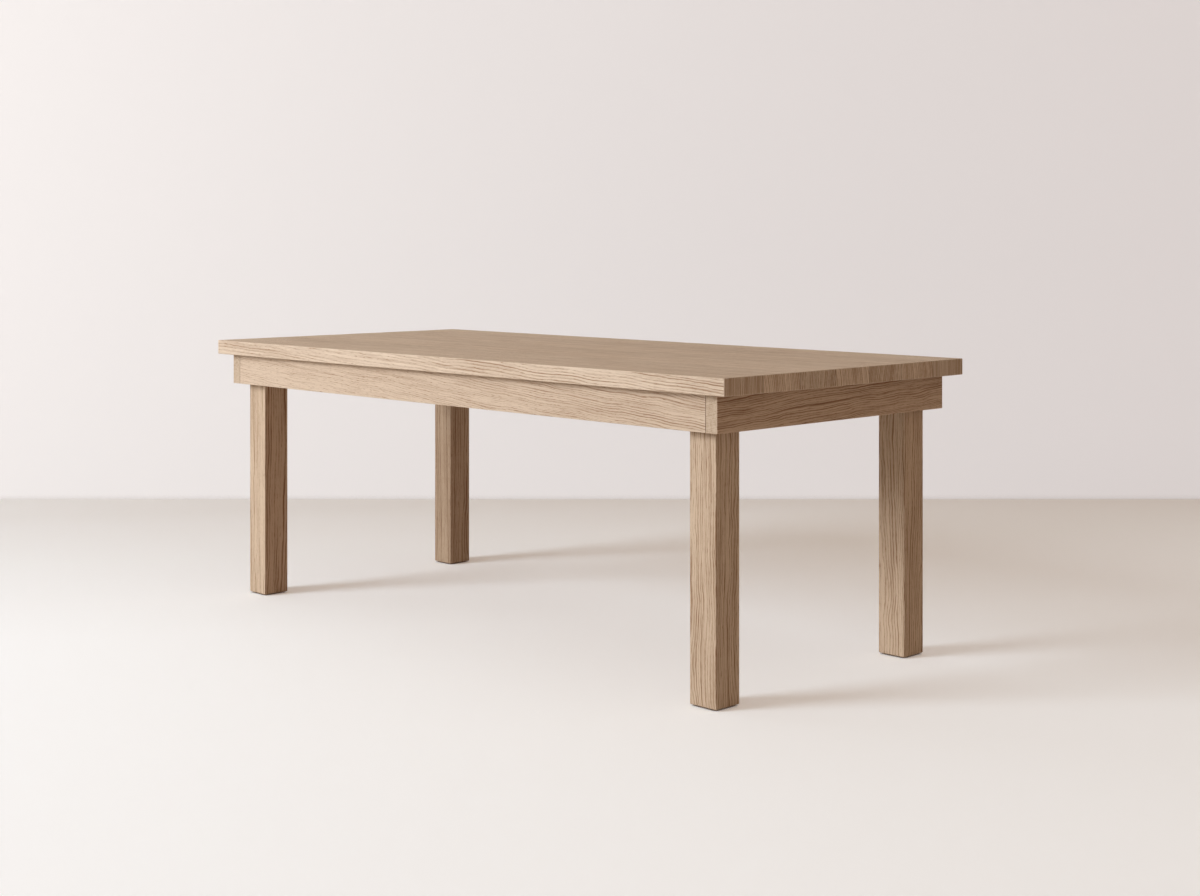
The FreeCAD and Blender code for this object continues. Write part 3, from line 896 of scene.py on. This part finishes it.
def pan_head(radius, seat, top):
    """Rings of a pan head with a cross recess, from its seat up and over."""
    height = top - seat
    shoulder = seat + PAN_SHOULDER * height
    rings = [ring(radius, seat), ring(radius, shoulder)]
    for step in range(1, PAN_STEPS + 1):
        angle = step * PAN_STEP
        share = PAN_FLAT + (1 - PAN_FLAT) * math.cos(angle)
        rings.append(ring(radius * share, shoulder + PAN_RISE * height * math.sin(angle)))
    rings.append(ring(PAN_FLAT * radius, top))
    rings.append(ring(cross(RECESS_TOP * radius), top))
    rings.append(ring(cross(RECESS_FLOOR * radius), seat + RECESS_LEVEL * height))
    return rings


def screw_form(solid):
    """Wood screw with a pan head, of the size of a CAD screw whose head is at the end of its axis."""
    radius = solid.off.max()
    seat = solid.along[solid.off > HEAD_RIM * radius].min()
    shank = solid.off[solid.along < seat - BELOW_SEAT].max()
    low = solid.along.min()
    point = low + SCREW_POINT * shank
    end = low + SCREW_THREADED * (seat - low)
    rings = [ring(SCREW_TIP * shank, low, SCREW_SIDES)]
    rings += thread(shank, SCREW_DEPTH * shank, SCREW_PITCH * shank, point, end, SCREW_SIDES)
    rings.append(ring(shank, seat, SCREW_SIDES))
    return skin(rings + pan_head(radius, seat, solid.along.max()))


def bolt_form(solid):
    """Hanger bolt: a coarse thread in the leg, a plain middle and a fine thread for the nut."""
    radius = solid.off.max()
    low, high = solid.along.min(), solid.along.max()
    point = low + BOLT_POINT * radius
    rings = [ring(BOLT_TIP * radius, low)]
    rings += thread(radius, BOLT_WOOD_DEPTH * radius, BOLT_WOOD_PITCH, point, low + BOLT_WOOD_END)
    rings += thread(radius, BOLT_DEPTH, BOLT_PITCH, high - BOLT_FINE_LENGTH, high - BOLT_CHAMFER)
    rings.append(ring(radius - BOLT_CHAMFER, high))
    return skin(rings)


def hexagon_sides(flat, low, high):
    """Rings of a hexagon's sides, with the corners turned off at both ends."""
    face = HEX_FACE * flat

    def outline(angle):
        return flat / math.cos(angle % HEX_SIDE - HEX_HALF)

    def drop(angle):
        return (outline(angle) - face) * math.tan(HEX_CHAMFER)
    return [
        ring(face, low),
        ring(outline, lambda angle: low + drop(angle)),
        ring(outline, lambda angle: high - drop(angle)),
        ring(face, high),
    ]


def nut_form(solid):
    """Hexagon nut with its corners turned off and its hole chamfered."""
    hole = solid.off.min()
    low, high = solid.along.min(), solid.along.max()
    rings = [ring(hole + BOLT_CHAMFER / 2, low)]
    rings += hexagon_sides(solid.off.max() * math.cos(HEX_HALF), low, high)
    rings.append(ring(hole + BOLT_CHAMFER / 2, high))
    rings.append(ring(hole, high - BOLT_CHAMFER / 2))
    rings.append(ring(hole, low + BOLT_CHAMFER / 2))
    return skin(rings, hollow=True)


def foot_screw_form(solid):
    """Levelling screw: swivel disc, neck, hexagon collar and fine thread."""
    levels = sorted(set(solid.along.round(LEVEL_DIGITS)))
    disc_low, disc_high, collar_low, collar_high = levels[:4]
    disc = solid.off[solid.along < disc_low + LEVEL_TOLERANCE].max()
    shank = solid.off[abs(solid.along - collar_high) < LEVEL_TOLERANCE].min()
    flat = solid.off.max() * math.cos(HEX_HALF)
    rings = [
        ring(disc - DISC_CHAMFER, disc_low),
        ring(disc, disc_low + DISC_CHAMFER),
        ring(disc, disc_high - DISC_CHAMFER),
        ring(disc - DISC_CHAMFER, disc_high),
        ring(shank, disc_high),
        ring(shank, collar_low),
    ]
    rings += hexagon_sides(flat, collar_low, collar_high)
    rings += thread(shank, BOLT_DEPTH, BOLT_PITCH, collar_high, levels[-1] - BOLT_CHAMFER)
    rings.append(ring(shank - BOLT_CHAMFER, levels[-1]))
    return skin(rings)


def dowel_form(solid):
    """Fluted dowel with chamfered ends."""
    radius = solid.off.max()
    end = solid.along.max()
    neck = solid.off.min()
    chamfer = radius - neck

    def flutes(angle):
        return radius - FLUTE_DEPTH * (round(angle * SIDES / FULL_TURN) % 2)
    return skin([ring(neck, -end), ring(flutes, chamfer - end), ring(flutes, end - chamfer), ring(neck, end)])


def make_fasteners(name, node, form, found, body="table", material=STEEL):
    """One piece of all the fasteners of a CAD node, which it replaces."""
    points = []
    faces = []
    for index, solid in enumerate(found):
        placement = solid.placement(FASTENER_TURN * index)
        first = len(points)
        points += [placement @ point for point in form[0]]
        faces += [[first + corner for corner in face] for face in form[1]]
    mesh = bpy.data.meshes.new(name)
    mesh.from_pydata(points, [], faces)
    mesh.shade_smooth()
    mesh.set_sharp_from_angle(angle=FASTENER_CREASE)
    mesh.materials.append(material)
    piece = bpy.data.objects.new(name, mesh)
    bpy.context.scene.collection.objects.link(piece)
    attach(piece, body)
    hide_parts(node)


def make_screws():
    for node in ("corner_block_screws", "batten_screws", "top_clip_screws"):
        found = solids(node)
        for solid in found:
            if solid.along[solid.off > HEAD_POINTS * solid.off.max()].mean() < 0:
                solid.flip()
        make_fasteners("threaded_" + node, node, screw_form(found[0]), found)


def make_bolts():
    bolts = solids("hanger_bolts")
    for bolt in bolts:
        if bolt.axis.dot(bolt.middle) > 0:
            bolt.flip()
    make_fasteners("threaded_hanger_bolts", "hanger_bolts", bolt_form(bolts[0]), bolts)
    nuts = solids("hanger_bolt_nuts")
    make_fasteners("chamfered_nuts", "hanger_bolt_nuts", nut_form(nuts[0]), nuts)


def make_foot_screws():
    for corner in CORNERS:
        node = "foot_screw_" + corner
        found = solids(node)
        if found[0].axis.z < 0:
            found[0].flip()
        make_fasteners("threaded_" + node, node, foot_screw_form(found[0]), found, node)


def make_dowels():
    node = "apron_dowels"
    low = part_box(node)[0]
    place = (low.y + DOWEL_HEART[0], low.z + DOWEL_HEART[1])
    material = wood(node, "X", place, DOWEL_LOOK, DOWEL_SHIFT)
    dowels = solids(node)
    make_fasteners("fluted_dowels", node, dowel_form(dowels[0]), dowels, "table", material)


def plane(name, corners):
    """Flat four-sided stage piece."""
    mesh = bpy.data.meshes.new(name)
    mesh.from_pydata([tuple(corner) for corner in corners], [], [(0, 1, 2, 3)])
    made = bpy.data.objects.new(name, mesh)
    bpy.context.scene.collection.objects.link(made)
    return made


def seen_directly(graph):
    """1 for what the camera sees, also through glass or in metal, and 0 for light on its way."""
    rays = graph.node("ShaderNodeLightPath").outputs
    seen = graph.math("ADD", rays["Is Camera Ray"], rays["Is Glossy Ray"])
    return graph.math("ADD", seen, rays["Is Transmission Ray"], clamp=True)


def glowing_matte(graph, seen, point, color, seen_color, glow, axis, reach):
    """Matte surface that is brighter to the eye than the light on it, except in narrow gaps, where the eye
    sees a painted dark shade.
    """
    occlusion = graph.node("ShaderNodeAmbientOcclusion", {"Distance": GAP_REACH}, samples=GAP_SAMPLES)
    openness = graph.rise(occlusion.outputs["AO"], *GAP_FADE)
    # Painted shade: where occlusion finds a narrow gap, the eye sees the dark gap colour and the glow goes
    # out
    matte_color = graph.blend(seen, color, graph.blend(openness, GAP_SHADE_COLOR, seen_color))
    matte = graph.node("ShaderNodeBsdfDiffuse", {"Color": matte_color})
    away = graph.vector("DOT_PRODUCT", graph.vector("SUBTRACT", point, CAMERA_PLACE), tuple(axis))
    glowing = graph.node("ShaderNodeEmission", {
        "Color": graph.blend(graph.rise(away, *reach), *glow),
        "Strength": graph.product(seen, openness),
    })
    return graph.combine("ShaderNodeAddShader", (matte.outputs[0], glowing.outputs[0]))


def stage_material(name, color, seen_color, glow, axis, reach):
    """Matte pale surface, a little brighter to the eye than the light on it, and more so towards one side,
    with a painted dark shade in narrow gaps.

    Its colour to the eye balances the warm fill. It is clear from behind, so that it hides nothing in views
    from there, and it turns into the plain background far from the table and under the lamp.
    """
    material, graph = new_material(name)
    seen = seen_directly(graph)
    point = graph.node("ShaderNodeTexCoord").outputs["Object"]
    surface = glowing_matte(graph, seen, point, color, seen_color, glow, axis, reach)
    far = graph.rise(graph.vector("LENGTH", point), *FADE_FAR)
    under_lamp = graph.rise(graph.vector("DOT_PRODUCT", point, tuple(-KEY_HEADING)), *FADE_LAMP)
    faded = graph.product(graph.math("MAXIMUM", far, under_lamp), seen)
    plain = graph.node("ShaderNodeEmission", {"Color": (*BACKGROUND, 1), "Strength": 1.0})
    surface = graph.combine("ShaderNodeMixShader", (surface, plain.outputs[0]), {"Fac": faded})
    back = graph.node("ShaderNodeNewGeometry").outputs["Backfacing"]
    clear = graph.node("ShaderNodeBsdfTransparent")
    surface = graph.combine("ShaderNodeMixShader", (surface, clear.outputs[0]), {"Fac": back})
    graph.node("ShaderNodeOutputMaterial", {"Surface": surface})
    return material


def make_stage():
    reach = STAGE_REACH
    floor = plane("floor", [(-reach, -reach, 0), (reach, -reach, 0), (reach, reach, 0), (-reach, reach, 0)])
    matte = stage_material("floor", FLOOR_COLOR, FLOOR_SEEN, FLOOR_GLOW, FLOOR_AXIS, FLOOR_REACH)
    floor.data.materials.append(matte)
    foot = Vector((CAMERA_PLACE[0], CAMERA_PLACE[1], 0)) + FORWARD * WALL_DISTANCE
    left = foot - RIGHT * reach
    right = foot + RIGHT * reach
    top = Vector((0, 0, WALL_HEIGHT))
    wall = plane("backdrop", [left, right, right + top, left + top])
    matte = stage_material("backdrop", WALL_COLOR, WALL_COLOR, WALL_GLOW, WALL_AXIS, WALL_REACH)
    wall.data.materials.append(matte)


def make_fill():
    world = bpy.data.worlds.new("fill")
    world.use_nodes = True
    world.node_tree.nodes.clear()
    graph = Graph(world.node_tree)
    upward = graph.split(graph.node("ShaderNodeTexCoord").outputs["Generated"])["Z"]
    color = graph.blend(graph.math("MAXIMUM", upward, 0.0), FILL_LOW, FILL_HIGH)
    color = graph.blend(seen_directly(graph), color, BACKGROUND)
    fill = graph.node("ShaderNodeBackground", {"Color": color, "Strength": 1.0})
    graph.node("ShaderNodeOutputWorld", {"Surface": fill.outputs[0]})
    bpy.context.scene.world = world


def make_key():
    lamp = bpy.data.lights.new("key", "AREA")
    lamp.shape = "DISK"
    lamp.size = KEY_SIZE
    lamp.energy = KEY_POWER
    lamp.color = KEY_COLOR
    key = bpy.data.objects.new("key", lamp)
    travel = KEY_HEADING * math.cos(KEY_ELEVATION) - Vector((0, 0, math.sin(KEY_ELEVATION)))
    middle = (cad_box[0] + cad_box[1]) / 2
    key.location = middle - travel * KEY_DISTANCE
    key.rotation_mode = "QUATERNION"
    key.rotation_quaternion = travel.to_track_quat("-Z", "Y")
    bpy.context.scene.collection.objects.link(key)


def make_camera():
    data = bpy.data.cameras.new("camera")
    data.sensor_fit = "HORIZONTAL"
    data.sensor_width = SENSOR_WIDTH
    data.lens = SENSOR_WIDTH * FOCAL_PIXELS / PICTURE_WIDTH
    data.shift_y = (AXIS_Y - PICTURE_HEIGHT / 2) / PICTURE_WIDTH
    camera = bpy.data.objects.new("camera", data)
    camera.location = CAMERA_PLACE
    camera.rotation_euler = (QUARTER_TURN, 0, CAMERA_YAW)
    bpy.context.scene.collection.objects.link(camera)
    bpy.context.scene.camera = camera


dress_top()
dress_frame()
dress_inside()
make_screws()
make_bolts()
make_foot_screws()
make_dowels()
make_stage()
make_fill()
make_key()
make_camera()
bpy.context.scene.view_settings.view_transform = "Standard"
